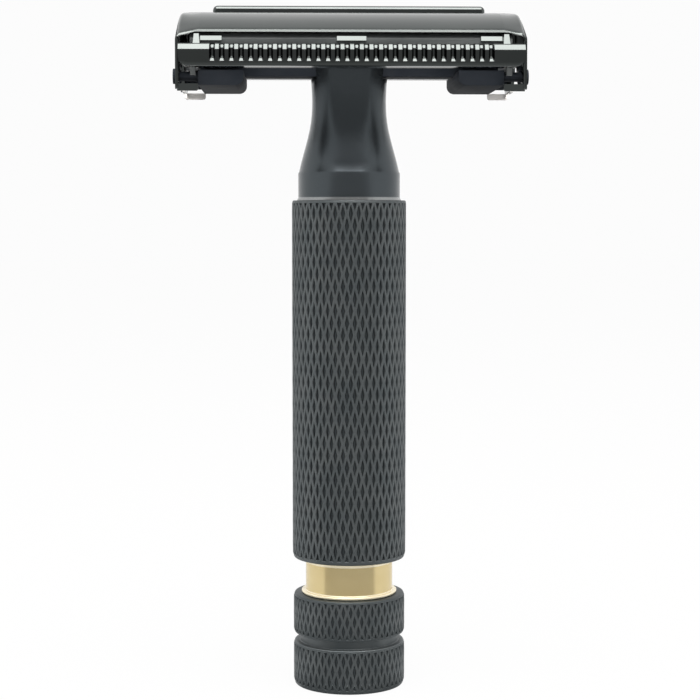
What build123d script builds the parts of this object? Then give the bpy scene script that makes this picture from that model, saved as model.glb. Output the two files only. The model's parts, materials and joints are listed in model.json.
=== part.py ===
"""Butterfly safety razor: knurled handle, brass collar, turning knob, scalloped guard and two hinged doors.

Frame: +Z up the handle, X along the head, -Y the front door. The origin is the centre of the knob's flat foot.
Turning the knob drives a nut and push rod up the handle. The rod lifts the brace bar, which carries the
hinge pins of both doors, and a fixed peg in a curved slot of each door's ear swings that door open.
"""

from build123d import *
import math
import os

# Fits
press_gap = 0.0  # pieces pressed or riveted together share their face
run_gap = 0.05  # radial play of a turning or sliding shaft
slide_gap = 0.12  # play beside flat faces that slide past each other

# Knob
knob_radius = 7.3
knob_height = 12.05
knob_groove_bottom = 5.7
knob_groove_width = 1.15
knob_groove_top = knob_groove_bottom + knob_groove_width
knob_groove_depth = 0.95
knob_edge = 0.45
groove_edge = 0.3
knob_floor = 3.0  # metal left under the screw's socket

# Collar between the knob and the handle
collar_bottom = knob_height + run_gap
collar_radius = 5.7
collar_flange_radius = 6.25
collar_flange_height = 0.35
collar_show = 4.7  # height of the collar that shows under the handle
collar_grip = 9.0  # length pressed inside the handle

# Handle tube
handle_bottom = collar_bottom + collar_show
handle_length = 46.7
handle_top = handle_bottom + handle_length
handle_radius = 7.42
handle_bore_radius = 5.9
handle_bottom_edge = 0.45
handle_top_edge = 0.15

# Neck
neck_length = 16.33  # from the handle to the guard's underside
neck_spigot_length = 6.5
neck_foot_radius = 6.6
neck_foot_height = 3.7
neck_base_flare = 0.35
neck_shoulder_chamfer = 0.25
neck_waist_radius = 4.75
neck_waist_drop = 3.33  # below the guard's underside
neck_head_radius = 5.07
neck_cheek_rise = 0.77  # over the guard's underside, where the flare ends
neck_bore_radius = 2.6

# Inner drive
screw_radius = 2.7
thread_radius = 2.3
thread_length = 10.7
washer_radius = 4.6
washer_thickness = 0.45
clip_radius = 4.2
clip_thickness = 0.65
clip_mouth = 1.6
nut_radius = 5.6
nut_length = 17.0
nut_rod_grip = 3.4
nut_start = 1.8  # free height over the clip
rod_radius = 1.9
rod_spigot_radius = 1.2
rod_spigot_rise = 1.5  # over the brace bar
bush_radius = 3.4
bush_length = 4.0

# Guard and its corner posts
post_gap = 38.0  # along the head; just holds the blade's 37.3 mm edges
post_width = 0.7
post_inset = 0.95  # behind the guard's front
post_depth = 1.1
post_height = 1.25
post_foot = 0.35
post_inner = post_gap / 2
post_outer = post_inner + post_width
guard_bottom = handle_top + neck_length
guard_height = 2.81
guard_top = guard_bottom + guard_height
guard_outer = 12.5
guard_width = 1.75
guard_inner = guard_outer - guard_width
guard_overhang = 1.6  # past the posts
guard_half_length = post_outer + guard_overhang
guard_edge = 0.42
guard_corner = 1.2
groove_count = 30
groove_inset = 1.15  # of the row of grooves from the posts
groove_pitch = (post_gap - 2 * groove_inset) / groove_count
groove_width = 0.6
groove_drop = 2.15
groove_depth = 1.05
groove_slant = 0.8  # of the groove's foot

# Arched plate between the guards
plate_rise = 3.31  # of its crown over the guard
plate_crown = guard_top + plate_rise
plate_arc_radius = 23.0
plate_thickness = 0.9
plate_slope_width = 1.25  # from the arch down to the guard
plate_edge_y = guard_inner - plate_slope_width
plate_overhang = 0.25  # past the posts
plate_half_length = post_outer + plate_overhang
pad_height = 0.62
pad_width = 0.85
pad_inset = 0.3
end_pad_length = 2.7
end_pad_outer = post_inner - pad_inset
middle_pad_length = 3.7
pad_reach = plate_edge_y + pad_width

# Lift and door swing
lift = 3.4
door_swing = 72.0
hinge_inset = 1.5  # inside the arch's edge
hinge_drop = 0.98  # below the guard's underside
hinge_y = plate_edge_y - hinge_inset
hinge_z = guard_bottom - hinge_drop
pin_radius = 0.6
pin_head_radius = 0.95
pin_head_height = 0.32
pin_grip = 3.0
peg_radius = 0.45
peg_offset_y = 1.3  # from the hinge, with the door shut
peg_offset_z = 2.4
slot_gap = 0.08

# End walls of the plate, slotted for the hinge pins
end_wall_thickness = 0.65
end_wall_reach = 1.95  # past the hinge
end_wall_half_width = hinge_y + end_wall_reach
end_wall_rise = 1.37  # of the inner part over the guard's underside
prong_drop = 0.9  # of the outer part under the guard, beside the hinge pin

# Doors
door_crown_radius = 19.6
door_thickness = 0.8
blade_space = 0.77  # between the arch and the door's inside
door_crown_z = plate_crown + blade_space + door_thickness
door_split = 0.9  # from the centre line to each door
door_overlap = 0.8  # past the arch's edge
door_outer_y = plate_edge_y + door_overlap
door_wall = 0.42
ear_gap = 0.08
ear_inner_x = guard_half_length + ear_gap
door_half_length = ear_inner_x + door_wall
door_end_inset = 0.1  # inside the posts, where the top starts to fall towards the ends
door_flat_half = post_inner - door_end_inset
door_end_drop = 0.5
door_end_radius = 0.75
land_width = 1.3
land_gap = 0.51  # over the blade's pads
land_fall = 0.45
ear_boss_radius = 1.15
ear_inner_reach = 3.6  # from the hinge towards the centre line
ear_outer_reach = 2.12
ear_flat = 0.4
ear_slant_width = 1.2
ear_slant_height = 1.0
ear_shoulder = 3.8
ear_top_drop = 1.0  # below the land, where the ear's outer edge ends
ear_slope = 0.4
ear_corner = 0.3
tail_drop = 1.65  # of the bent tail below the hinge
tab_length = 2.85
tab_inset = 0.1
tab_rise = 0.65  # over the tail's foot
tab_height = 0.85
tab_thickness = 0.4
tab_lean = 0.5  # of the tab's foot towards the centre line
tab_corner = 0.3

# Brace bar and centre bar
brace_arm_rise = 0.45  # over the hinge
brace_arm_height = 1.6
brace_arm_half_width = 2.4
brace_arm_bottom = hinge_z + brace_arm_rise
brace_arm_top = brace_arm_bottom + brace_arm_height
lug_gap = 0.25  # to the end wall
lug_length = 5.65
lug_rim = 1.0  # past the hinge
lug_drop = 1.1
lug_height = 1.85
lug_corner = 1.0
lug_outer = plate_half_length - end_wall_thickness - lug_gap
lug_inner = lug_outer - lug_length
lug_half_width = hinge_y + lug_rim
lug_bottom = hinge_z - lug_drop
lug_top = lug_bottom + lug_height
fin_inset = 1.5
fin_half_length = post_inner - fin_inset
fin_half_width = 0.68
fin_show = 0.93  # over the doors
fin_top = door_crown_z + fin_show
fin_corner = 0.45
fin_foot_half_width = 1.9
fin_foot_height = 1.0
window_end_gap = 1.0
window_side_gap = 0.4
window_half_length = fin_half_length + window_end_gap
window_half_width = fin_foot_half_width + window_side_gap

# Rivets that hold the guard plate on the neck
rivet_y = 3.75
rivet_radius = 0.7
rivet_depth = 2.4

os.makedirs("parts", exist_ok=True)


def save(piece, name):
    piece.part.label = name
    export_step(piece.part, f"parts/{name}.step")


def arch_height(y, crown, radius):
    """Height at y of an arch across the head whose crown is on the centre line."""
    return crown - radius + math.sqrt(radius**2 - y**2)


def rims_of(piece, radius):
    """Round edges of one radius, from the lowest to the highest."""
    rims = piece.edges().filter_by(GeomType.CIRCLE)
    return rims.filter_by(lambda rim: abs(rim.radius - radius) < run_gap / 2).sort_by(Axis.Z)


def turned(y, z, degrees):
    angle = math.radians(degrees)
    return (y * math.cos(angle) - z * math.sin(angle), y * math.sin(angle) + z * math.cos(angle))


# ---------------------------------------------------------------- knob
with BuildPart() as knob:
    with BuildSketch(Plane.XZ):
        with BuildLine():
            Polyline(
                (0, 0),
                (knob_radius, 0),
                (knob_radius, knob_groove_bottom),
                (knob_radius - knob_groove_depth, knob_groove_bottom),
                (knob_radius - knob_groove_depth, knob_groove_top),
                (knob_radius, knob_groove_top),
                (knob_radius, knob_height),
                (0, knob_height),
                close=True,
            )
        make_face()
    revolve(axis=Axis.Z)
    chamfer(rims_of(knob, knob_radius)[0], knob_edge)
    chamfer(rims_of(knob, knob_radius)[-1], knob_edge)
    chamfer(rims_of(knob, knob_radius)[1:3], groove_edge)
    with Locations((0, 0, knob_height)):
        Hole(radius=screw_radius + press_gap, depth=knob_height - knob_floor)
save(knob, "knob")

# ---------------------------------------------------------------- collar
collar_top = handle_bottom + collar_grip
with BuildPart() as brass_collar:
    with BuildSketch(Plane.XZ):
        with BuildLine():
            Polyline(
                (screw_radius + run_gap, collar_bottom),
                (collar_flange_radius, collar_bottom),
                (collar_flange_radius, collar_bottom + collar_flange_height),
                (collar_radius, collar_bottom + collar_flange_height),
                (collar_radius, handle_bottom),
                (handle_bore_radius, handle_bottom),
                (handle_bore_radius, collar_top),
                (screw_radius + run_gap, collar_top),
                close=True,
            )
        make_face()
    revolve(axis=Axis.Z)
    chamfer(rims_of(brass_collar, collar_radius)[0], collar_flange_height)
save(brass_collar, "brass_collar")

# ---------------------------------------------------------------- lead screw, washer and clip
washer_bottom = collar_top + run_gap
clip_bottom = washer_bottom + washer_thickness
clip_top = clip_bottom + clip_thickness
screw_top = clip_top + thread_length
with BuildPart() as lift_screw:
    with BuildSketch(Plane.XZ):
        with BuildLine():
            Polyline(
                (0, knob_floor),
                (screw_radius, knob_floor),
                (screw_radius, clip_bottom),
                (thread_radius, clip_bottom),
                (thread_radius, screw_top),
                (0, screw_top),
                close=True,
            )
        make_face()
    revolve(axis=Axis.Z)
    chamfer(lift_screw.edges().filter_by(GeomType.CIRCLE).sort_by(Axis.Z)[-1], groove_edge)
save(lift_screw, "lift_screw")

with BuildPart() as thrust_washer:
    with BuildSketch(Plane.XY.offset(washer_bottom)):
        Circle(washer_radius)
        Circle(screw_radius, mode=Mode.SUBTRACT)
    extrude(amount=washer_thickness)
save(thrust_washer, "thrust_washer")

with BuildPart() as retaining_clip:
    with BuildSketch(Plane.XY.offset(clip_bottom)):
        Circle(clip_radius)
        Circle(thread_radius, mode=Mode.SUBTRACT)
        with Locations((0, clip_radius / 2)):
            Rectangle(clip_mouth, clip_radius, mode=Mode.SUBTRACT)
    extrude(amount=clip_thickness)
save(retaining_clip, "retaining_clip")

# ---------------------------------------------------------------- handle tube
with BuildPart() as handle_tube:
    with BuildSketch(Plane.XY.offset(handle_bottom)):
        Circle(handle_radius)
        Circle(handle_bore_radius + press_gap, mode=Mode.SUBTRACT)
    extrude(amount=handle_length)
    fillet(rims_of(handle_tube, handle_radius)[0], handle_bottom_edge)
    chamfer(rims_of(handle_tube, handle_radius)[-1], handle_top_edge)
save(handle_tube, "handle_tube")

# ---------------------------------------------------------------- neck
plate_under_crown = plate_crown - plate_thickness
plate_under_radius = plate_arc_radius - plate_thickness
rivet_top = arch_height(rivet_y + rivet_radius, plate_crown, plate_arc_radius)
neck_foot_top = handle_top + neck_foot_height
neck_waist = guard_bottom - neck_waist_drop
neck_cheek = guard_bottom + neck_cheek_rise
neck_slot_bottom = brace_arm_bottom - 2 * slide_gap
spigot_bottom = handle_top - neck_spigot_length
with BuildPart() as neck:
    with BuildSketch(Plane.XZ):
        with BuildLine():
            Polyline(
                (neck_head_radius, neck_cheek),
                (neck_head_radius, plate_crown),
                (0, plate_crown),
                (0, spigot_bottom),
                (handle_bore_radius, spigot_bottom),
                (handle_bore_radius, handle_top),
                (neck_foot_radius + neck_base_flare, handle_top),
                (neck_foot_radius, handle_top + neck_base_flare),
                (neck_foot_radius, neck_foot_top - neck_shoulder_chamfer),
                (neck_foot_radius - neck_shoulder_chamfer, neck_foot_top),
            )
            Spline(
                (neck_foot_radius - neck_shoulder_chamfer, neck_foot_top),
                (neck_waist_radius, neck_waist),
                (neck_head_radius, neck_cheek),
                tangents=[(-0.32, 1), (0, 1), (0.16, 1)],
            )
        make_face()
    revolve(axis=Axis.Z)
    with Locations((0, 0, plate_crown)):
        Hole(radius=neck_bore_radius)
    with BuildSketch(Plane.YZ):  # the cheeks end on the underside of the arched plate
        with BuildLine():
            ThreePointArc(
                (-neck_foot_radius, arch_height(neck_foot_radius, plate_under_crown, plate_under_radius)),
                (0, plate_under_crown),
                (neck_foot_radius, arch_height(neck_foot_radius, plate_under_crown, plate_under_radius)),
            )
            Polyline(
                (neck_foot_radius, arch_height(neck_foot_radius, plate_under_crown, plate_under_radius)),
                (neck_foot_radius, plate_crown + plate_thickness),
                (-neck_foot_radius, plate_crown + plate_thickness),
                (-neck_foot_radius, arch_height(neck_foot_radius, plate_under_crown, plate_under_radius)),
            )
        make_face()
    extrude(amount=neck_foot_radius, both=True, mode=Mode.SUBTRACT)
    with BuildSketch(Plane.YZ):  # slot that lets the brace bar rise
        with Locations((0, (neck_slot_bottom + plate_crown) / 2)):
            Rectangle(2 * (brace_arm_half_width + slide_gap), plate_crown - neck_slot_bottom)
    extrude(amount=neck_foot_radius, both=True, mode=Mode.SUBTRACT)
    with BuildSketch(Plane.XY.offset(spigot_bottom)):  # seat of the rod bush
        Circle(bush_radius)
    extrude(amount=bush_length, mode=Mode.SUBTRACT)
    with Locations(*[(0, side * rivet_y, rivet_top) for side in (-1, 1)]):
        Hole(radius=rivet_radius, depth=rivet_depth)
save(neck, "neck")

with BuildPart() as rod_bush:
    with BuildSketch(Plane.XY.offset(spigot_bottom)):
        Circle(bush_radius)
        Circle(rod_radius + run_gap, mode=Mode.SUBTRACT)
    extrude(amount=bush_length)
save(rod_bush, "rod_bush")

# ---------------------------------------------------------------- guard plate
plate_edge_z = arch_height(plate_edge_y, plate_crown, plate_arc_radius)
under_edge_y = plate_edge_y - plate_thickness / 2
under_edge_z = arch_height(under_edge_y, plate_under_crown, plate_under_radius)


def plate_profile(side):
    """Half of the bent plate: arch, slope down to the guard and the guard bar itself, on the +Y or -Y side."""
    with BuildSketch(Plane.YZ) as half:
        with BuildLine():
            ThreePointArc(
                (0, plate_crown),
                (side * plate_edge_y / 2, arch_height(plate_edge_y / 2, plate_crown, plate_arc_radius)),
                (side * plate_edge_y, plate_edge_z),
            )
            Polyline(
                (side * plate_edge_y, plate_edge_z),
                (side * guard_inner, guard_top),
                (side * guard_inner, guard_top - 2 * plate_thickness),
                (side * under_edge_y, under_edge_z),
            )
            ThreePointArc(
                (side * under_edge_y, under_edge_z),
                (side * under_edge_y / 2, arch_height(under_edge_y / 2, plate_under_crown, plate_under_radius)),
                (0, plate_under_crown),
            )
            Line((0, plate_under_crown), (0, plate_crown))
        make_face()
    return half.sketch_local


def end_wall_profile(side):
    """End wall on one side: inner part, and a prong outside the slot that lets the hinge pin rise."""
    slot_near = hinge_y - pin_radius - 2 * slide_gap
    slot_far = hinge_y + pin_radius + 2 * slide_gap
    slot_top = hinge_z + lift + pin_radius + slide_gap
    with BuildSketch(Plane.YZ) as wall:
        with BuildLine():
            Polyline(
                (0, plate_crown - plate_thickness / 2),
                (side * slot_near, arch_height(slot_near, plate_crown - plate_thickness / 2, plate_arc_radius)),
                (side * end_wall_half_width, slot_top + plate_thickness / 2),
                (side * end_wall_half_width, guard_bottom - prong_drop),
                (side * slot_far, guard_bottom - prong_drop),
                (side * slot_far, slot_top),
                (side * slot_near, slot_top),
                (side * slot_near, guard_bottom + end_wall_rise),
                (0, guard_bottom + end_wall_rise),
                close=True,
            )
        make_face()
    return wall.sketch_local


def guard_bar(side):
    """Safety bar along one side, with its long edges rounded."""
    with BuildPart() as bar:
        with BuildSketch(Plane.YZ) as section:
            with Locations((side * (guard_inner + guard_outer) / 2, guard_bottom + guard_height / 2)):
                Rectangle(guard_outer - guard_inner, guard_height)
            fillet(section.vertices().group_by(Axis.X)[-1 if side > 0 else 0], guard_edge)
        extrude(amount=guard_half_length, both=True)
        with BuildSketch(Plane.XZ) as face:
            with Locations((0, guard_bottom + guard_height / 2)):
                Rectangle(2 * guard_half_length, guard_height)
            fillet(face.vertices().group_by(Axis.Y)[0], guard_corner)
        extrude(amount=2 * guard_outer, both=True, mode=Mode.INTERSECT)
    return bar.part


def guard_groove():
    """Cutter of one groove: open on top and in front, with a slanted foot."""
    run_out = guard_top - groove_drop
    back = guard_outer - groove_depth
    with BuildSketch(Plane.YZ) as cut:
        with BuildLine():
            Polyline(
                (back, guard_top + groove_edge),
                (back, run_out + groove_slant),
                (back + groove_slant, run_out),
                (guard_outer + groove_edge, run_out),
                (guard_outer + groove_edge, guard_top + groove_edge),
                close=True,
            )
        make_face()
    return extrude(cut.sketch, amount=groove_width / 2, both=True, mode=Mode.PRIVATE)


def blade_post():
    """Corner post that keeps the blade in place, flared where it stands on the guard."""
    half = post_width / 2
    with BuildSketch(Plane.XZ.offset(post_inset - guard_outer)) as face:
        with BuildLine():
            Polyline(
                (-half - post_foot, guard_top - guard_edge),
                (half + post_foot, guard_top - guard_edge),
                (half + post_foot, guard_top),
                (half, guard_top + post_foot),
                (half, guard_top + post_height),
                (-half, guard_top + post_height),
                (-half, guard_top + post_foot),
                (-half - post_foot, guard_top),
                close=True,
            )
        make_face()
    return extrude(face.sketch, amount=post_depth)


def blade_pad(length):
    """Raised pad under the blade's edge, on the slope beside the guard."""
    with BuildPart(mode=Mode.PRIVATE) as pad:
        with Locations((0, (plate_edge_y + pad_reach) / 2, pad_top - plate_thickness / 2)):
            Box(length, pad_reach - plate_edge_y, plate_thickness)
    return pad.part


peg_y = hinge_y + peg_offset_y
peg_z = hinge_z + peg_offset_z
slope = (plate_edge_z - guard_top) / plate_slope_width
pad_top = guard_top + slope * (guard_inner - pad_reach) + pad_height
groove = guard_groove()
post = blade_post()
end_pad = blade_pad(end_pad_length)
middle_pad = blade_pad(middle_pad_length)
plate_halves = [plate_profile(side) for side in (-1, 1)]
wall_halves = [end_wall_profile(side) for side in (-1, 1)]
guard_bars = [guard_bar(side) for side in (-1, 1)]
wall_x = plate_half_length - end_wall_thickness / 2
post_x = post_inner + post_width / 2
end_pad_x = end_pad_outer - end_pad_length / 2
with BuildPart() as base_plate:
    with BuildSketch(Plane.YZ):
        add(plate_halves)
    extrude(amount=plate_half_length, both=True)
    with BuildSketch():  # opening for the centre bar
        Rectangle(2 * window_half_length, 2 * window_half_width)
    extrude(amount=2 * plate_crown, mode=Mode.SUBTRACT)
    for end in (-1, 1):
        with BuildSketch(Plane.YZ.offset(end * wall_x)):
            add(wall_halves)
        extrude(amount=end_wall_thickness / 2, both=True)
    add(guard_bars)
    for turn in (0, 180):
        with Locations(Rotation(0, 0, turn)):
            with Locations((-end_pad_x, 0), (end_pad_x, 0)):
                add(end_pad)
            add(middle_pad)
            with Locations((-post_x, 0), (post_x, 0)):
                add(post)
            with GridLocations(groove_pitch, 0, groove_count, 1):
                add(groove, mode=Mode.SUBTRACT)
    with BuildSketch(Plane.YZ):  # holes of the guide pegs
        with Locations((peg_y, peg_z), (-peg_y, peg_z)):
            Circle(peg_radius + press_gap)
    extrude(amount=guard_half_length, both=True, mode=Mode.SUBTRACT)
    with Locations(*[(0, side * rivet_y, rivet_top) for side in (-1, 1)]):
        Hole(radius=rivet_radius, depth=rivet_depth)
save(base_plate, "base_plate")

for place, side in (("front", -1), ("rear", 1)):
    with BuildPart() as plate_rivet:
        with Locations((0, side * rivet_y, rivet_top - rivet_depth / 2)):
            Cylinder(rivet_radius - press_gap, rivet_depth)
    save(plate_rivet, f"plate_rivet_{place}")

peg_root = plate_half_length - end_wall_thickness
for place, end, side in (("front_left", -1, -1), ("front_right", 1, -1), ("rear_left", -1, 1), ("rear_right", 1, 1)):
    with BuildPart() as guide_peg:
        with BuildSketch(Plane.YZ.offset(end * peg_root)):
            with Locations((side * peg_y, peg_z)):
                Circle(peg_radius)
        extrude(amount=end * (door_half_length - peg_root))
    save(guide_peg, f"guide_peg_{place}")

# ---------------------------------------------------------------- carrier: nut, rod, brace bar, centre bar
nut_bottom = clip_top + nut_start
nut_top = nut_bottom + nut_length
with BuildPart() as drive_nut:
    with Locations((0, 0, nut_bottom + nut_length / 2)):
        Cylinder(nut_radius, nut_length)
    with Locations((0, 0, nut_top)):
        Hole(radius=rod_radius + press_gap, depth=nut_rod_grip)
    with Locations((0, 0, nut_top - nut_rod_grip)):
        Hole(radius=thread_radius + run_gap, depth=nut_length)
    chamfer(drive_nut.edges().filter_by(GeomType.CIRCLE).group_by(SortBy.RADIUS)[-1], groove_edge)
save(drive_nut, "drive_nut")

spigot_top = brace_arm_top + rod_spigot_rise
with BuildPart() as push_rod:
    with BuildSketch(Plane.XY.offset(nut_top - nut_rod_grip)):
        Circle(rod_radius)
    extrude(amount=brace_arm_bottom - nut_top + nut_rod_grip)
    with BuildSketch(Plane.XY.offset(brace_arm_bottom)):
        Circle(rod_spigot_radius)
    extrude(amount=spigot_top - brace_arm_bottom)
save(push_rod, "push_rod")

with BuildPart() as brace_bar:
    with Locations((0, 0, brace_arm_bottom + brace_arm_height / 2)):
        Box(2 * lug_outer, 2 * brace_arm_half_width, brace_arm_height)
    for end in (-1, 1):
        with BuildSketch(Plane.XZ.offset(-lug_half_width)) as lug:
            with Locations((end * (lug_inner + lug_outer) / 2, (lug_bottom + lug_top) / 2)):
                Rectangle(lug_outer - lug_inner, lug_top - lug_bottom)
            inner_low = lug.vertices().group_by(Axis.Y)[0].sort_by(Axis.X)[-1 if end < 0 else 0]
            fillet(inner_low, lug_corner)
        extrude(amount=2 * lug_half_width)
    with Locations((0, 0, brace_arm_top)):
        Hole(radius=rod_spigot_radius + press_gap)
    for end in (-1, 1):
        with BuildSketch(Plane.YZ.offset(end * lug_outer)):
            with Locations((hinge_y, hinge_z), (-hinge_y, hinge_z)):
                Circle(pin_radius + press_gap)
        extrude(amount=-end * pin_grip, mode=Mode.SUBTRACT)
save(brace_bar, "brace_bar")

with BuildPart() as center_bar:
    with Locations((0, 0, brace_arm_top + fin_foot_height / 2)):
        Box(2 * fin_half_length, 2 * fin_foot_half_width, fin_foot_height)
    with BuildSketch(Plane.XZ.offset(-fin_half_width)) as fin:
        with Locations((0, (brace_arm_top + fin_top) / 2)):
            Rectangle(2 * fin_half_length, fin_top - brace_arm_top)
        fillet(fin.vertices().group_by(Axis.Y)[-1], fin_corner)
    extrude(amount=2 * fin_half_width)
    with Locations((0, 0, spigot_top)):
        Hole(radius=rod_spigot_radius + press_gap, depth=spigot_top - brace_arm_top)
save(center_bar, "center_bar")

for place, end, side in (("front_left", -1, -1), ("front_right", 1, -1), ("rear_left", -1, 1), ("rear_right", 1, 1)):
    with BuildPart() as hinge_pin:
        with BuildSketch(Plane.YZ.offset(end * (lug_outer - pin_grip))):
            with Locations((side * hinge_y, hinge_z)):
                Circle(pin_radius)
        extrude(amount=end * (door_half_length + run_gap - lug_outer + pin_grip))
        with BuildSketch(Plane.YZ.offset(end * (door_half_length + run_gap))):
            with Locations((side * hinge_y, hinge_z)):
                Circle(pin_head_radius)
        extrude(amount=end * pin_head_height)
    save(hinge_pin, f"hinge_pin_{place}")

# ---------------------------------------------------------------- doors
door_axis_z = door_crown_z - door_crown_radius
land_z = pad_top + land_gap
tail_low = hinge_z - tail_drop
ear_outer_y = hinge_y + ear_outer_reach
ear_inner_y = hinge_y - ear_inner_reach


def door_shell():
    """Arched top and end walls: one section turned about the axis of the arch."""
    inside = door_crown_z - door_thickness
    root = door_crown_z - door_crown_radius / 2
    with BuildPart() as shell:
        with BuildSketch(Plane.XZ):
            with BuildLine():
                FilletPolyline(
                    (0, door_crown_z),
                    (door_flat_half, door_crown_z),
                    (door_half_length, door_crown_z - door_end_drop),
                    (door_half_length, root),
                    radius=door_end_radius,
                )
                Line((door_half_length, root), (ear_inner_x, root))
                FilletPolyline(
                    (ear_inner_x, root),
                    (ear_inner_x, inside - door_end_drop),
                    (door_flat_half, inside),
                    (0, inside),
                    radius=door_end_radius - door_wall,
                )
                Line((0, inside), (0, door_crown_z))
            make_face()
            mirror(about=Plane.YZ)
        revolve(axis=Axis((0, 0, door_axis_z), (-1, 0, 0)), revolution_arc=50)
    return shell.part


def ear_outline():
    """Everything of the door's end that stays, seen along the head."""
    boss_low = hinge_z - ear_boss_radius
    with BuildSketch(Plane.YZ) as outline:
        with BuildLine():
            FilletPolyline(
                (door_split, door_crown_z + door_thickness),
                (door_split, hinge_z + ear_shoulder),
                (ear_inner_y - ear_slant_width, boss_low + ear_slant_height),
                (ear_inner_y, boss_low),
                (hinge_y + ear_flat, boss_low),
                (hinge_y + peg_offset_y, tail_low),
                (ear_outer_y, tail_low),
                (ear_outer_y, land_z - ear_top_drop),
                (door_outer_y, land_z - ear_top_drop + ear_slope),
                (door_outer_y, door_crown_z + door_thickness),
                close=True,
                radius=ear_corner,
            )
        make_face()
    return outline.sketch_local


def cam_slot():
    """Path of a fixed peg over the ear while the door rises and swings."""
    steps = [step / 6 for step in range(7)]
    path = [turned(peg_offset_y, peg_offset_z - lift * step, door_swing * step) for step in steps]
    points = [Vector(hinge_y + y, hinge_z + z) for y, z in path]
    with BuildSketch(Plane.YZ) as slot:
        for start, end in zip(points, points[1:]):
            SlotCenterPoint(center=(start + end) / 2, point=end, height=2 * (peg_radius + slot_gap))
    return slot.sketch_local


def bent_tab(end):
    """Foot of the tail, bent inwards under the hinge and leaning towards the centre line."""
    top = tail_low + tab_rise
    outer = ear_outer_y - tab_inset
    root = end * (ear_inner_x + door_wall / 2)
    tip = end * (door_half_length - tab_length)
    with BuildPart(mode=Mode.PRIVATE) as tab:
        with BuildSketch(Plane.YZ.offset(tip)):
            with BuildLine():
                Polyline(
                    (outer, top),
                    (outer - tab_thickness, top),
                    (outer - tab_thickness - tab_lean, top - tab_height),
                    (outer - tab_lean, top - tab_height),
                    close=True,
                )
            make_face()
        extrude(amount=root - tip)
        low_edges = tab.edges().filter_by(Axis.Y).group_by(Axis.Z)[0].sort_by(Axis.X)
        fillet(low_edges[0 if end > 0 else -1], tab_corner)
    return tab.part


shell = door_shell()
ear = ear_outline()
slot = cam_slot()
with BuildPart() as rear_door:
    add(shell)
    with Locations((0, (door_split + door_outer_y) / 2, door_crown_z / 2)):
        Box(4 * door_half_length, door_outer_y - door_split, 2 * door_crown_z, mode=Mode.INTERSECT)
    with BuildSketch(Plane.XZ.offset(land_width - door_outer_y)):  # flat land that presses on the blade's edge
        with BuildLine():
            Polyline(
                (0, land_z),
                (post_inner, land_z),
                (ear_inner_x, land_z - land_fall),
                (ear_inner_x, hinge_z),
                (0, hinge_z),
                close=True,
            )
        make_face()
        mirror(about=Plane.YZ)
    extrude(amount=-door_outer_y, mode=Mode.SUBTRACT)
    for end in (-1, 1):
        with BuildSketch(Plane.YZ.offset(end * ear_inner_x)):
            with Locations((door_outer_y / 2, hinge_z)):
                Rectangle(2 * door_outer_y, 4 * door_outer_y)
            add(ear, mode=Mode.SUBTRACT)
        extrude(amount=end * 2 * door_wall, mode=Mode.SUBTRACT)
        with BuildSketch(Plane.YZ.offset(end * ear_inner_x)):
            add(slot)
            with Locations((hinge_y, hinge_z)):
                Circle(pin_radius + run_gap)
        extrude(amount=end * 2 * door_wall, mode=Mode.SUBTRACT)
    add(bent_tab(1))
    add(bent_tab(-1))
save(rear_door, "rear_door")

with BuildPart() as front_door:
    mirror(rear_door.part, about=Plane.XZ)
save(front_door, "front_door")
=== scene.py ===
import bpy
import bmesh
import json
import math
from mathutils import Matrix


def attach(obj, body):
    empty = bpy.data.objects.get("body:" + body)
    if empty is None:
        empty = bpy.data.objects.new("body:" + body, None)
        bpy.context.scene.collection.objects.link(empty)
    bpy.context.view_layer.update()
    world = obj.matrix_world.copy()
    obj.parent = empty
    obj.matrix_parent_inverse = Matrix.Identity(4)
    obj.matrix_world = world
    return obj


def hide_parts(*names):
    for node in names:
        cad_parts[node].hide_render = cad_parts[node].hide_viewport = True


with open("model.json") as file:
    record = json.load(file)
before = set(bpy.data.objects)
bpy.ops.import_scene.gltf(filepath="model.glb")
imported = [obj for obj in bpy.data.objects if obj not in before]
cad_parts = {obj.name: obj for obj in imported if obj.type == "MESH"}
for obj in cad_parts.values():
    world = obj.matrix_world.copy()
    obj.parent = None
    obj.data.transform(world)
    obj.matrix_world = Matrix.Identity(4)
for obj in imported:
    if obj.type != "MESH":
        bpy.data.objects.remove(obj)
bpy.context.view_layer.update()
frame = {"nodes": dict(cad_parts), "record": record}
nodes = frame["nodes"]
record = frame["record"]
mm = 0.001
tiny = 0.02 * mm  # places closer than this are the same
scene = bpy.context.scene
scene.view_settings.view_transform = "Standard"
print("stage: frame loaded,", len(nodes), "nodes")


viewPoint = {
    "distance": 235 * mm,  # from the handle's axis
    "height": 62.5 * mm,
    "turn": 1.8,  # degrees round the handle, towards the left end of the head
    "down": 4.5,  # degrees below level
    "aside": 0.03,  # degrees that keep the handle a little left of the middle
    "lens": 92.7,
}


def placeCamera(view):
    data = bpy.data.cameras.new("viewCamera")
    data.lens = view["lens"]
    data.sensor_width = 36
    data.clip_start = 0.01
    camera = bpy.data.objects.new("viewCamera", data)
    turn = math.radians(view["turn"])
    away = view["distance"]
    camera.location = (-away * math.sin(turn), -away * math.cos(turn), view["height"])
    camera.rotation_euler = (math.radians(90 - view["down"]), 0, -turn - math.radians(view["aside"]))
    scene.collection.objects.link(camera)
    scene.camera = camera


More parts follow.
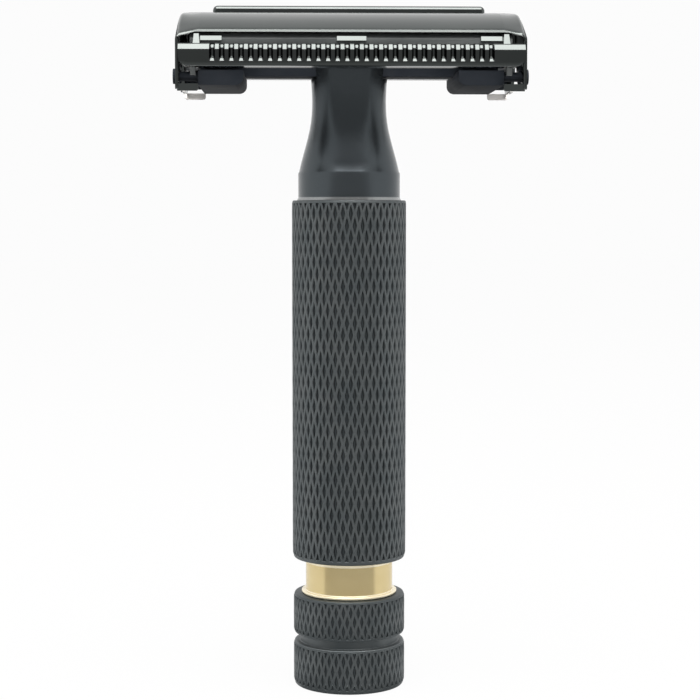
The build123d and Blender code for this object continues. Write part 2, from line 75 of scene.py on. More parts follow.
class Wire:
    # one socket of a node tree, with the sums that the finishes need
    def __init__(self, graph, socket):
        self.graph = graph
        self.socket = socket

    def sum(self, operation, left, right, clamp=False):
        settings = {"operation": operation, "use_clamp": clamp}
        return self.graph.node("ShaderNodeMath", settings, {0: left, 1: right})

    def __add__(self, other):
        return self.sum("ADD", self, other)

    def __radd__(self, other):
        return self.sum("ADD", other, self)

    def __sub__(self, other):
        return self.sum("SUBTRACT", self, other)

    def __rsub__(self, other):
        return self.sum("SUBTRACT", other, self)

    def __mul__(self, other):
        return self.sum("MULTIPLY", self, other)

    def __rmul__(self, other):
        return self.sum("MULTIPLY", other, self)

    def __truediv__(self, other):
        return self.sum("DIVIDE", self, other)

    def __pow__(self, other):
        return self.sum("POWER", self, other)

    def clamped(self):
        return self.sum("ADD", self, 0.0, clamp=True)

    def above(self, start, soft):
        # 0 up to the start, then rising to 1 over a soft step
        return ((self - start) / soft).clamped()

    def below(self, start, soft):
        return ((start - self) / soft).clamped()


class Graph:
    # a node tree that is wired by expressions
    def __init__(self, tree):
        self.tree = tree
        tree.nodes.clear()

    def node(self, kind, settings=None, sockets=None, out=0):
        made = self.tree.nodes.new(kind)
        for name, value in (settings or {}).items():
            if name == "stops":  # the two ends of a color ramp
                for element, (place, color) in zip(made.color_ramp.elements, value):
                    element.position = place
                    element.color = color
            else:
                setattr(made, name, value)
        for name, value in (sockets or {}).items():
            if isinstance(value, Wire):
                self.tree.links.new(value.socket, made.inputs[name])
            else:
                made.inputs[name].default_value = value
        return Wire(self, made.outputs[out] if made.outputs else None)

    def place(self):
        return self.node("ShaderNodeTexCoord", out="Object")

    def facing(self):
        return self.node("ShaderNodeTexCoord", out="Normal")

    def axes(self, vector):
        parts = self.node("ShaderNodeSeparateXYZ", {}, {0: vector}).socket.node
        return [Wire(self, socket) for socket in parts.outputs]

    def noise(self, place, scale, detail):
        return self.node("ShaderNodeTexNoise", {}, {"Vector": place, "Scale": scale, "Detail": detail})

    def stretch(self, place, scale):
        return self.node("ShaderNodeVectorMath", {"operation": "MULTIPLY"}, {0: place, 1: scale})

    def shades(self, cloud, look):
        # a look's dark shade where the noise is low and its pale one where it is high
        stops = [(0.3, look["dark"]), (0.7, look["pale"])]
        return self.node("ShaderNodeValToRGB", {"stops": stops}, {0: cloud})

    def mixColor(self, factor, first, second):
        # 6 and 7 are the Mix node's color inputs, 2 is its color output
        sockets = {0: factor, 6: first, 7: second}
        return self.node("ShaderNodeMix", {"data_type": "RGBA"}, sockets, out=2)

    def bump(self, height, strength, distance):
        sockets = {"Height": height, "Strength": strength, "Distance": distance}
        return self.node("ShaderNodeBump", {}, sockets)

    def finish(self, sockets):
        shader = self.node("ShaderNodeBsdfPrincipled", {}, sockets)
        self.node("ShaderNodeOutputMaterial", {}, {0: shader})


def newFinish(name, recipe, look):
    material = bpy.data.materials.new(name)
    material.use_nodes = True
    graph = Graph(material.node_tree)
    graph.finish(recipe(graph, look))
    return material


def tone(red, green, blue):
    return (red, green, blue, 1)


gunmetalLook = {
    "dark": tone(0.086, 0.095, 0.093),
    "pale": tone(0.1, 0.109, 0.106),
    "bare": tone(0.95, 0.93, 0.9),  # painted highlight: near-white color on the bent tails' inner faces, standing in for the light they reflect
    "bareBelow": 78.1 * mm,
    "bareSoft": 0.15 * mm,
    "bareReach": 4 * mm,  # distance from the middle of the head where the painted highlight is full
}


def gunmetalRecipe(graph, look):
    place = graph.place()
    y, z = graph.axes(place)[1:]
    inwards = (0 - graph.axes(graph.facing())[1] * y / look["bareReach"]).clamped()
    # painted highlight: below this height the tails' inner faces turn near white and hardly metallic
    paintedHighlight = z.below(look["bareBelow"], look["bareSoft"]) * inwards
    cloud = graph.noise(place, 90, 3)
    smear = graph.noise(graph.stretch(place, (1, 6, 6)), 500, 4)
    grain = graph.noise(place, 9000, 2)
    return {
        "Base Color": graph.mixColor(paintedHighlight, graph.shades(cloud, look), look["bare"]),
        "Metallic": 1 - paintedHighlight * 0.85,
        "Roughness": 0.11 + smear * 0.07 + paintedHighlight * 0.2,
        "Normal": graph.bump(grain, 0.05, 0.02 * mm),
    }


shadedLook = {
    "dark": tone(0.085, 0.093, 0.093),
    "pale": tone(0.12, 0.13, 0.13),
}


def shadedRecipe(graph, look):
    # the same metal, made less mirror-like and a little paler where it only sees its own parts, so the
    # shaded plate inside the head does not go black: a lit copy of the gunmetal, painted fill light
    place = graph.place()
    cloud = graph.noise(place, 150, 3)
    grain = graph.noise(place, 9000, 2)
    return {
        "Base Color": graph.shades(cloud, look),
        "Metallic": 0.3,
        "Roughness": 0.4 + cloud * 0.1,
        "Normal": graph.bump(grain, 0.05, 0.02 * mm),
    }


satinLook = {
    "dark": tone(0.06, 0.07, 0.077),
    "pale": tone(0.07, 0.081, 0.087),
    "foot": tone(0.3, 0.31, 0.31),  # painted highlight: a paler ring at the foot of the neck, standing in for the light line it reflects
    "footTop": 63.95 * mm,
    "footSoft": 0.1 * mm,
}


def satinRecipe(graph, look):
    place = graph.place()
    # painted highlight on the foot of the neck, below this height
    foot = graph.axes(place)[2].below(look["footTop"], look["footSoft"])
    turning = graph.noise(graph.stretch(place, (0.04, 0.04, 1)), 9000, 3)
    cloud = graph.noise(place, 120, 3)
    return {
        "Base Color": graph.mixColor(foot, graph.shades(cloud, look), look["foot"]),
        "Metallic": 0.85,
        "Roughness": 0.2 + turning * 0.07,
        "Normal": graph.bump(turning, 0.06, 0.02 * mm),
    }


paintedLook = {
    "dark": tone(0.024, 0.029, 0.037),
    "pale": tone(0.032, 0.037, 0.045),
    "under": tone(0.008, 0.01, 0.013),  # painted shade: darker where it faces down, against the light from the floor below
}


def paintedRecipe(graph, look):
    place = graph.place()
    cloud = graph.noise(place, 300, 3)
    grain = graph.noise(place, 6000, 2)
    # painted shade: the color darkens where a face looks down
    down = (graph.axes(graph.facing())[2] * -1.6).clamped()
    return {
        "Base Color": graph.mixColor(down, graph.shades(cloud, look), look["under"]),
        "Roughness": 0.62 + cloud * 0.1,
        "Specular IOR Level": 0.08,
        "Normal": graph.bump(grain, 0.1, 0.02 * mm),
    }


knurlLook = {
    "dark": tone(0.096, 0.11, 0.115),
    "pale": tone(0.126, 0.138, 0.141),
    # painted shade: the pits are darker, where shade falls in them
    "pit": tone(0.054, 0.064, 0.068),
    "pitRadius": 7.08 * mm,
    "ridgeRise": 0.24 * mm,  # from the painted shade of the pits to the full color of the ridges
    "grooveLow": 5.6 * mm,  # the knob's plain groove has the ridges' color
    "grooveHigh": 6.95 * mm,
    "grooveSoft": 0.08 * mm,
}


def knurlRecipe(graph, look):
    place = graph.place()
    x, y, z = graph.axes(place)
    # painted shade in the pits, below this radius
    ridge = ((x * x + y * y) ** 0.5).above(look["pitRadius"], look["ridgeRise"])
    soft = look["grooveSoft"]
    groove = z.above(look["grooveLow"], soft) * z.below(look["grooveHigh"], soft)
    cloud = graph.noise(place, 350, 4)
    wear = graph.noise(place, 1500, 2)
    return {
        "Base Color": graph.mixColor((ridge + groove).clamped(), look["pit"], graph.shades(cloud, look)),
        "Metallic": 0.85,
        "Roughness": 0.4 + wear * 0.16,
        "Normal": graph.bump(wear, 0.25, 0.03 * mm),
    }


brassLook = {
    "dark": tone(0.66, 0.53, 0.27),
    "pale": tone(0.72, 0.59, 0.32),
    "bright": tone(0.9, 0.84, 0.66),  # painted highlight: near-white color on the flange and on a ring just under the handle, standing in for the light they reflect
    "flangeTop": 12.62 * mm,
    "flangeSoft": 0.08 * mm,
    "ringLow": 16.15 * mm,
    "ringSoft": 0.1 * mm,
}


def brassRecipe(graph, look):
    place = graph.place()
    z = graph.axes(place)[2]
    # painted highlights on the flange and on the ring under the handle
    ring = z.above(look["ringLow"], look["ringSoft"])
    bright = (ring + z.below(look["flangeTop"], look["flangeSoft"])).clamped()
    turning = graph.noise(graph.stretch(place, (0.03, 0.03, 1)), 7000, 3)
    cloud = graph.noise(place, 200, 3)
    return {
        "Base Color": graph.mixColor(bright * 0.7, graph.shades(cloud, look), look["bright"]),
        "Metallic": 0.86 - bright * 0.4,
        "Roughness": 0.15 + turning * 0.07,
        "Normal": graph.bump(turning, 0.06, 0.02 * mm),
    }


steelLook = {
    "dark": tone(0.26, 0.27, 0.28),
    "pale": tone(0.32, 0.33, 0.34),
}


def steelRecipe(graph, look):
    scratch = graph.noise(graph.stretch(graph.place(), (1, 1, 20)), 900, 4)
    return {
        "Base Color": graph.shades(scratch, look),
        "Metallic": 1.0,
        "Roughness": 0.24 + scratch * 0.1,
    }


gunmetal = newFinish("gunmetal", gunmetalRecipe, gunmetalLook)
shadedMetal = newFinish("shadedMetal", shadedRecipe, shadedLook)
satinBlack = newFinish("satinBlack", satinRecipe, satinLook)
paintedBlack = newFinish("paintedBlack", paintedRecipe, paintedLook)
knurlBlack = newFinish("knurlBlack", knurlRecipe, knurlLook)
brass = newFinish("brass", brassRecipe, brassLook)
steel = newFinish("steel", steelRecipe, steelLook)
print("stage: finishes made")


finishOf = {
    "black_nickel": gunmetal,
    "satin_black": satinBlack,
    "knurled_black": knurlBlack,
    "brass": brass,
    "steel": steel,
}
slotOf = {entry["node"]: entry["material_slot"] for entry in record["subparts"]}
bodyOf = {node: body for body, names in record["behaviour"]["bodies"].items() for node in names}
for node, slot in slotOf.items():
    materials = nodes[node].data.materials
    materials.clear()
    materials.append(finishOf[slot])
print("stage: solids dressed")


def newPiece(bm, name, finish, node):
    bmesh.ops.recalc_face_normals(bm, faces=bm.faces)
    mesh = bpy.data.meshes.new(name)
    bm.to_mesh(mesh)
    bm.free()
    mesh.materials.append(finish)
    piece = bpy.data.objects.new(name, mesh)
    scene.collection.objects.link(piece)
    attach(piece, bodyOf[node])
    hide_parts(node)
    return piece


def softEdges(piece, width, angle=30, segments=2):
    # smooth faces with a small round on every sharp edge
    for face in piece.data.polygons:
        face.use_smooth = True
    bevel = piece.modifiers.new("edges", "BEVEL")
    bevel.width = width
    bevel.segments = segments
    bevel.limit_method = "ANGLE"
    bevel.angle_limit = math.radians(angle)
    bevel.harden_normals = True


def solidCopy(node):
    # the node's own mesh, merged and with its flat faces whole
    bm = bmesh.new()
    bm.from_mesh(nodes[node].data)
    bmesh.ops.remove_doubles(bm, verts=bm.verts, dist=0.001 * mm)
    bmesh.ops.dissolve_limit(bm, angle_limit=math.radians(0.5), verts=bm.verts, edges=bm.edges)
    return bm


def cutOff(bm, place, away):
    # takes off what lies past a plane and closes the cut
    geom = bm.verts[:] + bm.edges[:] + bm.faces[:]
    bmesh.ops.bisect_plane(bm, geom=geom, plane_co=place, plane_no=away, clear_outer=True)
    bmesh.ops.holes_fill(bm, edges=[edge for edge in bm.edges if edge.is_boundary])


def growRing(bm, edges):
    # one more row of faces on a ring of edges; gives the new points, the new ring and the faces
    made = bmesh.ops.extrude_edge_only(bm, edges=edges)["geom"]
    verts = [item for item in made if isinstance(item, bmesh.types.BMVert)]
    faces = [item for item in made if isinstance(item, bmesh.types.BMFace)]
    fresh = set(verts)
    lines = [item for item in made if isinstance(item, bmesh.types.BMEdge)]
    return verts, [edge for edge in lines if fresh.issuperset(edge.verts)], faces


def pushRing(bm, edges, radius, height):
    # one more ring of the turned outline, grown from the last
    verts, ring = growRing(bm, edges)[:2]
    for vert in verts:
        flat = vert.co.xy.normalized() * radius
        vert.co = (flat.x, flat.y, height)
    return ring


def roundOver(bm, edges, radius, height, across, along, steps=5):
    # quarter round from a wall to a flat face; along is negative downwards
    for step in range(1, steps + 1):
        angle = math.pi / 2 * step / steps
        wide = radius - across * (1 - math.cos(angle))
        edges = pushRing(bm, edges, wide, height + along * math.sin(angle))
    return edges


def rimAt(bm, height):
    # the open edges at one height
    rims = [edge for edge in bm.edges if edge.is_boundary]
    return [edge for edge in rims if all(abs(vert.co.z - height) < tiny for vert in edge.verts)]


knurl = {
    "smooth": 0.35,  # how far the pits and ridges are evened out
    "fade": 0.3 * mm,  # length over which the ridges fade at both ends of a band
}


def knurledBand(bm, band):
    # rows of rhombi, each sunk to a pit, between two plain rings; gives the lowest and highest ring
    count, rows = band["count"], band["rows"]
    low, high = band["low"], band["high"]
    circle = bmesh.ops.create_circle(bm, segments=count, radius=band["radius"])["verts"]
    bmesh.ops.translate(bm, vec=(0, 0, low), verts=circle)
    ring = list({edge for vert in circle for edge in vert.link_edges})
    walls, rings = [], []
    for row in range(rows):
        verts, ring, faces = growRing(bm, ring)
        side = math.pi / count * (1 if row % 2 == 0 else -1)
        bmesh.ops.rotate(bm, cent=(0, 0, 0), matrix=Matrix.Rotation(side, 3, "Z"), verts=verts)
        bmesh.ops.translate(bm, vec=(0, 0, (high - low) / rows), verts=verts)
        walls += faces
        rings.append(ring)
    bmesh.ops.triangulate(bm, faces=walls, quad_method="SHORT_EDGE")
    inner = [edge for ring in rings[:-1] for edge in ring]
    bmesh.ops.dissolve_edges(bm, edges=inner, use_verts=False)
    skin = [face for face in bm.faces if low < face.calc_center_median().z < high]
    for width, depth in band["pit"]:
        bmesh.ops.inset_individual(bm, faces=skin, thickness=width, depth=-depth)
    inner = [vert for vert in bm.verts if low + tiny < vert.co.z < high - tiny and not vert.is_boundary]
    bmesh.ops.smooth_vert(bm, verts=inner, factor=knurl["smooth"], use_axis_x=True, use_axis_y=True,
                          use_axis_z=True)
    fadeRidges(bm, band)
    return rimAt(bm, low), rimAt(bm, high)


def fadeRidges(bm, band):
    low, high = band["low"], band["high"]
    for vert in bm.verts:
        x, y, z = vert.co
        if low - tiny < z < high + tiny:
            share = max(1 - min(z - low, high - z) / knurl["fade"], 0)
            most = band["radius"] - band["sink"][0 if z < (low + high) / 2 else 1] * share
            length = vert.co.xy.length
            if length > most:
                vert.co = (x * most / length, y * most / length, z)


def turnedPiece(outline, steps=128):
    # a closed outline of (radius, height) turned once round the handle's axis
    bm = bmesh.new()
    chain = [bm.verts.new((radius, 0, height)) for radius, height in outline]
    for start, end in zip(chain, chain[1:] + chain[:1]):
        bm.edges.new((start, end))
    bmesh.ops.spin(bm, geom=bm.verts[:] + bm.edges[:], cent=(0, 0, 0), axis=(0, 0, 1), angle=2 * math.pi,
                   steps=steps, use_merge=True)
    return bm


def arc(center, radius, first, last, steps):
    # points of an arc; angles in degrees from the outward direction
    angles = [math.radians(first + (last - first) * step / steps) for step in range(steps + 1)]
    x, y = center
    return [(x + radius * math.cos(angle), y + radius * math.sin(angle)) for angle in angles]


handle = {
    "radius": 7.42 * mm,
    "low": 16.8 * mm,
    "high": 63.5 * mm,
    "bore": 5.95 * mm,
    "foot": 0.32 * mm,  # rounded bottom rim
    "rim": 0.15 * mm,  # rounded top rim
    "count": 46,  # pits round the handle
    "rows": 30,
    # steps of a pit: how far inwards and how deep
    "pit": [(0.13 * mm, 0), (0.08 * mm, 0.05 * mm), (0.07 * mm, 0.1 * mm), (0.08 * mm, 0.15 * mm)],
    "sink": (0.12 * mm, 0.05 * mm),  # how far the ridges sink at the bottom and at the top
    "softEdge": 0.02 * mm,
}


def makeHandle(size):
    bm = bmesh.new()
    radius, foot, rim = size["radius"], size["foot"], size["rim"]
    lowSink, highSink = size["sink"]
    band = dict(size, low=size["low"] + foot, high=size["high"] - rim)
    bottom, top = knurledBand(bm, band)
    bottom = roundOver(bm, bottom, radius - lowSink, band["low"], foot - lowSink, -foot)
    top = roundOver(bm, top, radius - highSink, band["high"], rim, rim, steps=2)
    bottom = pushRing(bm, bottom, size["bore"], size["low"])
    top = pushRing(bm, top, size["bore"], size["high"])
    bmesh.ops.bridge_loops(bm, edges=bottom + top)
    piece = newPiece(bm, "knurledHandle", knurlBlack, "handle_tube")
    softEdges(piece, size["softEdge"], angle=40, segments=1)


knobSize = {
    "radius": 7.3 * mm,
    "height": 12.05 * mm,
    "low": 5.7 * mm,  # the plain groove between the two bands
    "high": 6.85 * mm,
    "waist": 6.45 * mm,  # its radius
    "edge": 0.3 * mm,  # rounded foot
    "lip": 0.12 * mm,  # rounded rims of the groove and the top
    "count": 48,
    "rows": 4,
    "pit": [(0.12 * mm, 0), (0.07 * mm, 0.03 * mm), (0.07 * mm, 0.07 * mm), (0.08 * mm, 0.1 * mm)],
    "sink": (0.12 * mm, 0.12 * mm),
    "softEdge": 0.02 * mm,
}


def makeKnob(size):
    bm = bmesh.new()
    edge, lip, waist = size["edge"], size["lip"], size["waist"]
    rim = size["radius"] - size["sink"][0]
    lower = knurledBand(bm, dict(size, low=edge, high=size["low"] - lip))
    upper = knurledBand(bm, dict(size, low=size["high"] + lip, high=size["height"] - lip))
    foot = roundOver(bm, lower[0], rim, edge, edge / 2, -edge)
    below = roundOver(bm, lower[1], rim, size["low"] - lip, lip, lip, steps=3)
    below = pushRing(bm, pushRing(bm, below, waist + lip, size["low"]), waist, size["low"] + lip)
    above = roundOver(bm, upper[0], rim, size["high"] + lip, lip, -lip, steps=3)
    above = pushRing(bm, pushRing(bm, above, waist + lip, size["high"]), waist, size["high"] - lip)
    bmesh.ops.bridge_loops(bm, edges=below + above)
    top = roundOver(bm, upper[1], rim, size["height"] - lip, lip, lip, steps=3)
    bmesh.ops.contextual_create(bm, geom=foot)
    bmesh.ops.contextual_create(bm, geom=top)
    piece = newPiece(bm, "knurledKnob", knurlBlack, "knob")
    softEdges(piece, size["softEdge"], angle=40, segments=1)


collar = {
    "bore": 2.75 * mm,
    "radius": 5.7 * mm,
    "grip": 5.9 * mm,  # radius of the part inside the handle
    "low": 12.1 * mm,
    "high": 16.8 * mm,
    "top": 25.8 * mm,
    "flange": 6.25 * mm,
    "flangeHeight": 0.35 * mm,
    "round": 0.12 * mm,
    "fillet": 0.12 * mm,
    "softEdge": 0.03 * mm,
}


def makeCollar(size):
    radius, flange, small, fillet = size["radius"], size["flange"], size["round"], size["fillet"]
    step = size["low"] + size["flangeHeight"]
    outline = [(size["bore"], size["low"])]
    outline += arc((flange - small, size["low"] + small), small, -90, 0, 3)
    outline += arc((flange - small, step - small), small, 0, 90, 3)
    outline += arc((radius + fillet, step + fillet), fillet, 270, 180, 6)
    outline += [(radius, step + 2 * fillet), (radius, size["high"]), (size["grip"], size["high"])]
    outline += [(size["grip"], size["top"]), (size["bore"], size["top"])]
    piece = newPiece(turnedPiece(outline), "brassCollar", brass, "brass_collar")
    softEdges(piece, size["softEdge"], angle=50, segments=1)


guard = {
    "web": 9.15 * mm,  # inner edge of the flat underside
    "webThick": 0.5 * mm,
    "inner": 10.75 * mm,
    "root": 10 * mm,
    "rootRise": 1.2 * mm,  # from the underside to where the slope inside ends
    "rootTop": 82.3 * mm,
    "outer": 12.5 * mm,
    "low": 79.83 * mm,
    "top": 82.64 * mm,
    "half": 21.3 * mm,
    "lowRound": 0.3 * mm,
    "corner": 1.2 * mm,  # rounded lower corners at both ends
    "cornerSteps": 5,
    "count": 30,
    "first": 17.12 * mm,  # from the middle to the outermost groove
    "mouth": 0.36 * mm,  # half width of a groove in front
    # millimetres below the top: how far the edge leans back, a groove's depth, half the width of its floor
    "edge": [(0, 0.72), (0.06, 0.55), (0.16, 0.44), (0.48, 0.215), (0.62, 0.12), (0.75, 0.03), (0.9, 0),
             (1.55, 0), (1.72, 0), (1.95, 0), (2.2, 0)],
    "depth": [(0, 1.6), (0.06, 1.45), (0.16, 1.03), (0.48, 0.8), (0.62, 0.76), (0.9, 0.75), (1.55, 0.75),
              (1.72, 0.44), (2.2, 0)],
    "floor": [(0.48, 0.14), (0.75, 0.1), (1.6, 0.1), (2.2, 0.25)],
    "softEdge": 0.04 * mm,
}


def along(table, place):
    # value of a table of (place, value) between its steps
    if place <= table[0][0]:
        return table[0][1]
    for (first, value), (second, other) in zip(table, table[1:]):
        if place <= second:
            return value + (other - value) * (place - first) / (second - first)
    return table[-1][1]


def guardSection(size):
    # the bar's outline across the head, as (distance from the middle, height)
    top, low, outer, small = size["top"], size["low"], size["outer"], size["lowRound"]
    points = [(size["root"], low + size["rootRise"]), (size["root"], size["rootTop"])]
    points += [(size["inner"], size["rootTop"]), (size["inner"], top)]
    points += [(outer - lean * mm, top - drop * mm) for drop, lean in size["edge"]]
    points += arc((outer - small, low + small), small, 0, -90, 5)
    return points + [(size["web"], low), (size["web"], low + size["webThick"])]


def guardStations(size):
    # places along the head; -1 and 1 mark the two sides of a groove's floor
    corner, steps = size["corner"], size["cornerSteps"]
    turns = [math.radians(90 / steps * step) for step in range(steps + 1)]
    tip = [size["half"] - corner + corner * math.sin(turn) for turn in turns]
    stations = [(-x, 0) for x in reversed(tip)]
    pitch = 2 * size["first"] / (size["count"] - 1)
    for index in range(size["count"]):
        middle = -size["first"] + index * pitch
        stations += [(middle - size["mouth"], 0), (middle, -1), (middle, 1), (middle + size["mouth"], 0)]
    return stations + [(x, 0) for x in tip]


def guardPoint(size, side, station, point):
    # a point of the section at one place along the head
    x, turn = station
    y, z = point
    lift = max(abs(x) - size["half"] + size["corner"], 0)
    low = size["low"] + size["corner"] - math.sqrt(max(size["corner"] ** 2 - lift ** 2, 0))
    drop = (size["top"] - z) / mm
    depth = along(size["depth"], drop) * mm if turn else 0
    return (x + turn * along(size["floor"], drop) * mm, side * min(y, size["outer"] - depth), max(z, low))


def grownFrom(vert, order):
    # the point of the last ring that this one was grown from
    others = [edge.other_vert(vert) for edge in vert.link_edges]
    return next(other for other in others if other in order)


def makeGuardBar(size, side):
    section = guardSection(size)
    bm = bmesh.new()
    chain = [bm.verts.new((0, y, z)) for y, z in section]
    ring = [bm.edges.new((start, end)) for start, end in zip(chain, chain[1:] + chain[:1])]
    order = {vert: index for index, vert in enumerate(chain)}  # which point of the section each one is
    rings = [ring]
    for number, station in enumerate(guardStations(size)):
        if number:
            verts, ring = growRing(bm, ring)[:2]
            order = {vert: order[grownFrom(vert, order)] for vert in verts}
            rings.append(ring)
        for vert, index in order.items():
            vert.co = guardPoint(size, side, station, section[index])
    for end in (rings[0], rings[-1]):
        bmesh.ops.contextual_create(bm, geom=end)
    piece = newPiece(bm, "guardBar" + ("Rear" if side > 0 else "Front"), gunmetal, "base_plate")
    softEdges(piece, size["softEdge"], angle=35)


makeHandle(handle)
makeKnob(knobSize)
makeCollar(collar)
for side in (-1, 1):
    makeGuardBar(guard, side)
print("stage: knurled pieces, collar and guard bars made")


plate = {"cut": 10.05 * mm, "softEdge": 0.05 * mm}


def makePlate(size):
    # what of the plate lies between the two guard bars
    bm = solidCopy("base_plate")
    for side in (-1, 1):
        cutOff(bm, (0, side * size["cut"], 0), (0, side, 0))
    # the plate between the bars takes the lit copy of the gunmetal, painted fill light for the shaded head
    softEdges(newPiece(bm, "archedPlate", shadedMetal, "base_plate"), size["softEdge"])


post = {  # millimetres
    "places": [(-19.1, 0.65), (19.1, 0.65)],  # middle and width along the head
    "front": 11.75,
    "back": 10.45,
    "foot": 82.3,
    "top": 83.89,
    "lean": 0.72,  # how far the front leans back at the top
    "flare": 0.16,  # how much wider the foot is on each side
    "softEdge": 0.05,
}
pad = {  # millimetres
    "places": [(-17.35, 2.7), (0, 3.7), (17.35, 2.7)],
    "front": 10.39,
    "back": 9.6,
    "foot": 83.08,
    "top": 83.72,
    "lean": 0.3,
    "flare": 0,
}


def leaningBlocks(bm, size, side):
    # upright blocks on one side of the head whose fronts lean back
    front, back, foot, top = size["front"], size["back"], size["foot"], size["top"]
    for middle, wide in size["places"]:
        made = bmesh.ops.create_cube(bm, size=mm)["verts"]
        bmesh.ops.scale(bm, vec=(wide, front - back, top - foot), verts=made)
        place = (middle * mm, side * (front + back) / 2 * mm, (foot + top) / 2 * mm)
        bmesh.ops.translate(bm, vec=place, verts=made)
        for vert in made:
            if vert.co.z > place[2] and side * vert.co.y > side * place[1]:
                vert.co.y -= side * size["lean"] * mm
            if vert.co.z < place[2]:
                vert.co.x += math.copysign(size["flare"], vert.co.x - place[0]) * mm


def makePosts():
    bm = bmesh.new()
    for side in (-1, 1):
        leaningBlocks(bm, post, side)
        leaningBlocks(bm, pad, side)
    softEdges(newPiece(bm, "bladePosts", gunmetal, "base_plate"), post["softEdge"] * mm)


door = {  # heights and distances in millimetres
    "outer": 10.3,
    "rim": 10.11,  # outer edge of the arch
    "rimRise": 0.12,
    "arched": 0.4,  # a face that looks up more than this belongs to the arch
    "upright": 0.05,  # and one that looks up less than this to a wall
    "archLow": 83.4,  # the arch lies above this height
    "archFrom": 4.0,  # it falls a little faster from here to its edge
    "archFall": 0.25,
    "endFrom": 19.6,  # the ends rise a little from here outwards
    "end": 21.6,
    "endLift": 0.4,
    "liftFrom": 84.9,  # more and more so between these two heights
    "liftTo": 86.4,
    "wallInner": 20.5,  # the end walls stand further out than this
    "wallFrom": 82.7,  # they lean in towards the top
    "wallTop": 87.0,
    "wallLean": 0.25,
    "softEdge": 0.04,
}


def doorArch(bm, size):
    # points of the arch, and of its outer edge over a wall
    rim = set()
    for edge in bm.edges:
        lifts = sorted(face.normal.z for face in edge.link_faces)
        outermost = all(abs(abs(vert.co.y) - size["outer"] * mm) < tiny for vert in edge.verts)
        if outermost and lifts[0] < size["upright"] and size["arched"] < lifts[-1]:
            rim.update(edge.verts)
    faces = [face for face in bm.faces if face.normal.z > size["arched"]]
    return {vert for face in faces for vert in face.verts if vert.co.z > size["archLow"] * mm}, rim


def makeDoor(node, size):
    bm = solidCopy(node)
    bm.normal_update()
    arch, rim = doorArch(bm, size)
    for vert in arch:
        fall = along([(size["archFrom"], 0), (size["outer"], size["archFall"])], abs(vert.co.y) / mm)
        vert.co.z -= fall * mm
    for vert in rim:
        vert.co.y *= size["rim"] / size["outer"]
        vert.co.z += size["rimRise"] * mm
    for vert in bm.verts:
        x, z = abs(vert.co.x) / mm, vert.co.z / mm
        high = along([(size["liftFrom"], 0), (size["liftTo"], 1)], z)
        vert.co.z += along([(size["endFrom"], 0), (size["end"], size["endLift"])], x) * high * mm
        if x > size["wallInner"]:
            lean = along([(size["wallFrom"], 0), (size["wallTop"], size["wallLean"])], z)
            vert.co.x -= math.copysign(lean * mm, vert.co.x)
    softEdges(newPiece(bm, node + "Finish", gunmetal, node), size["softEdge"] * mm)


fin = {
    "half": 17.5 * mm,
    "thick": 1.36 * mm,
    "low": 86.6 * mm,
    "cut": 87.0 * mm,  # the solid's crest is cut off here and made anew
    "top": 88.45 * mm,
    "round": 0.62 * mm,
    "softEdge": 0.04 * mm,
}


def makeFin(size):
    # the bar between the doors; its crest is rounded all round
    bm = solidCopy("center_bar")
    cutOff(bm, (0, 0, size["cut"]), (0, 0, 1))
    made = bmesh.ops.create_cube(bm, size=1)["verts"]
    bmesh.ops.scale(bm, vec=(size["half"] * 2, size["thick"], size["top"] - size["low"]), verts=made)
    bmesh.ops.translate(bm, vec=(0, 0, (size["top"] + size["low"]) / 2), verts=made)
    block = [edge for edge in bm.edges if edge.verts[0] in made]
    edges = [edge for edge in block if max(vert.co.z for vert in edge.verts) > size["cut"]]
    bmesh.ops.bevel(bm, geom=edges, offset=size["round"], segments=6, profile=0.5, affect="EDGES",
                    material=-1)
    softEdges(newPiece(bm, "finFinish", gunmetal, "center_bar"), size["softEdge"])


neck = {  # millimetres
    # height and radius of the outside
    "outline": [(63.5, 6.76), (63.85, 6.6), (66.95, 6.6), (67.2, 6.47), (68.36, 6.2), (69.51, 5.89),
                (70.55, 5.6), (71.55, 5.34), (72.53, 5.11), (73.48, 4.95), (74.41, 4.84), (75.33, 4.79),
                (76.23, 4.77), (77.23, 4.8), (78.15, 4.85), (79.06, 4.92), (79.83, 4.98), (80.6, 5.07)],
    "inside": 4.7,  # what is closer to the axis is left as it is
    "spigot": 5.9,  # and so is the part inside the handle
    "softEdge": 0.06,
}


def makeNeck(size):
    bm = solidCopy("neck")
    top = size["outline"][-1][0]
    for vert in bm.verts:
        length, z = vert.co.xy.length, vert.co.z / mm
        onSpigot = abs(length - size["spigot"] * mm) < tiny
        if length > size["inside"] * mm and z < top and not onSpigot:
            flat = vert.co.xy * (along(size["outline"], z) * mm / length)
            vert.co = (flat.x, flat.y, vert.co.z)
    softEdges(newPiece(bm, "neckFinish", satinBlack, "neck"), size["softEdge"] * mm)


plainPieces = {  # width of the rounded edges in millimetres
    "brace_bar": 0.1,
    # the hinge pins take the painted black, darker than their black nickel: painted shade for the gap they
    # sit in
    "hinge_pin_front_left": 0.05,
    "hinge_pin_front_right": 0.05,
    "hinge_pin_rear_left": 0.05,
    "hinge_pin_rear_right": 0.05,
}

makePlate(plate)
makePosts()
makeDoor("front_door", door)
makeDoor("rear_door", door)
makeFin(fin)
makeNeck(neck)
for node, width in plainPieces.items():
    softEdges(newPiece(solidCopy(node), node + "Finish", paintedBlack, node), width * mm)
print("stage: plain pieces finished")


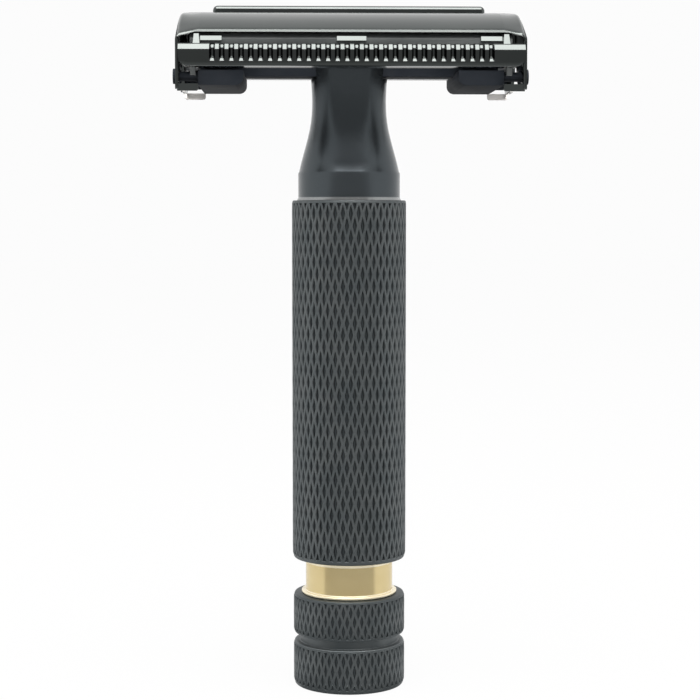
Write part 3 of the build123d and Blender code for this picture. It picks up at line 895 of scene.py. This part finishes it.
studio = {
    "background": 0.973,
    "sides": 1.0,  # light from the sides, the top and behind
    "front": 0.32,  # the darker room behind the camera
    "darkFrom": 0.33,  # how far forward a direction points where the darker room begins
    "darkTo": 0.45,  # and where it is full
    "darkLean": 0.6,  # higher up it begins this much further forward
    "floorSize": 2,  # metres from the middle to the edge
    "floorPaint": tone(0.8, 0.8, 0.8),
    "floorGlow": 0.97,  # the rest of what the eye sees is paint, which takes the soft shadow
    "floorSeen": 0.978,
    "floorFront": 0.5,  # levels of the floor in polished metal
    "floorSides": 0.95,
    "floorFar": 0.22,
    "farFrom": 0.35,  # metres behind the razor
    "farSoft": 0.25,
}


def glowing(graph, kind, level):
    return graph.node(kind, {}, {"Color": tone(1, 1, 1), "Strength": level})


def mixed(graph, factor, first, second):
    return graph.node("ShaderNodeMixShader", {}, {0: factor, 1: first, 2: second})


def studioWorld(size):
    world = bpy.data.worlds.new("studio")
    scene.world = world
    world.use_nodes = True
    graph = Graph(world.node_tree)
    y, z = graph.axes(graph.node("ShaderNodeTexCoord", out="Generated"))[1:]  # direction of a ray
    forward = 0 - y - z.clamped() * size["darkLean"]
    dark = forward.above(size["darkFrom"], size["darkTo"] - size["darkFrom"])
    names = ("sides", "front", "background")
    sides, front, background = [glowing(graph, "ShaderNodeBackground", size[name]) for name in names]
    seen = graph.node("ShaderNodeLightPath", out="Is Camera Ray")
    room = mixed(graph, dark, sides, front)
    graph.node("ShaderNodeOutputWorld", {}, {0: mixed(graph, seen, room, background)})


def floorRecipe(graph, size):
    # the floor is as pale as the background to the eye and dim in polished metal
    seen = graph.node("ShaderNodeLightPath", out="Is Camera Ray")
    mirrored = graph.node("ShaderNodeLightPath", out="Is Glossy Ray")
    paint = graph.node("ShaderNodeBsdfDiffuse", {}, {"Color": size["floorPaint"]})
    x, y = graph.axes(graph.place())[:2]
    forward = (0 - y) / (x * x + y * y) ** 0.5
    dark = forward.above(size["darkFrom"], size["darkTo"] - size["darkFrom"])
    far = y.above(size["farFrom"], size["farSoft"])
    names = ("floorSeen", "floorSides", "floorFront", "floorFar")
    pale, sides, front, back = [glowing(graph, "ShaderNodeEmission", size[name]) for name in names]
    dim = mixed(graph, far, mixed(graph, dark, sides, front), back)
    return mixed(graph, mirrored, mixed(graph, seen * size["floorGlow"], paint, pale), dim)


def layFloor(size):
    bm = bmesh.new()
    bmesh.ops.create_grid(bm, x_segments=1, y_segments=1, size=size["floorSize"])
    mesh = bpy.data.meshes.new("floor")
    bm.to_mesh(mesh)
    bm.free()
    floor = bpy.data.objects.new("floor", mesh)
    scene.collection.objects.link(floor)
    material = bpy.data.materials.new("floor")
    material.use_nodes = True
    graph = Graph(material.node_tree)
    graph.node("ShaderNodeOutputMaterial", {}, {0: floorRecipe(graph, size)})
    mesh.materials.append(material)


lamps = {  # place, width along X, depth, power and color of each soft light
    "overhead": {
        "place": (0.0, -0.25, 0.62),
        "wide": 0.7,
        "deep": 0.57,
        "power": 8.8,
        "color": (1, 0.97, 0.95),
    },
}


def hangLamps():
    for name, lamp in lamps.items():
        data = bpy.data.lights.new(name, "AREA")
        data.shape = "RECTANGLE"
        data.size = lamp["wide"]
        data.size_y = lamp["deep"]
        data.energy = lamp["power"]
        data.color = lamp["color"]
        light = bpy.data.objects.new(name, data)
        light.location = lamp["place"]
        scene.collection.objects.link(light)


studioWorld(studio)
layFloor(studio)
hangLamps()
placeCamera(viewPoint)
print("stage: studio, lamp and camera placed")
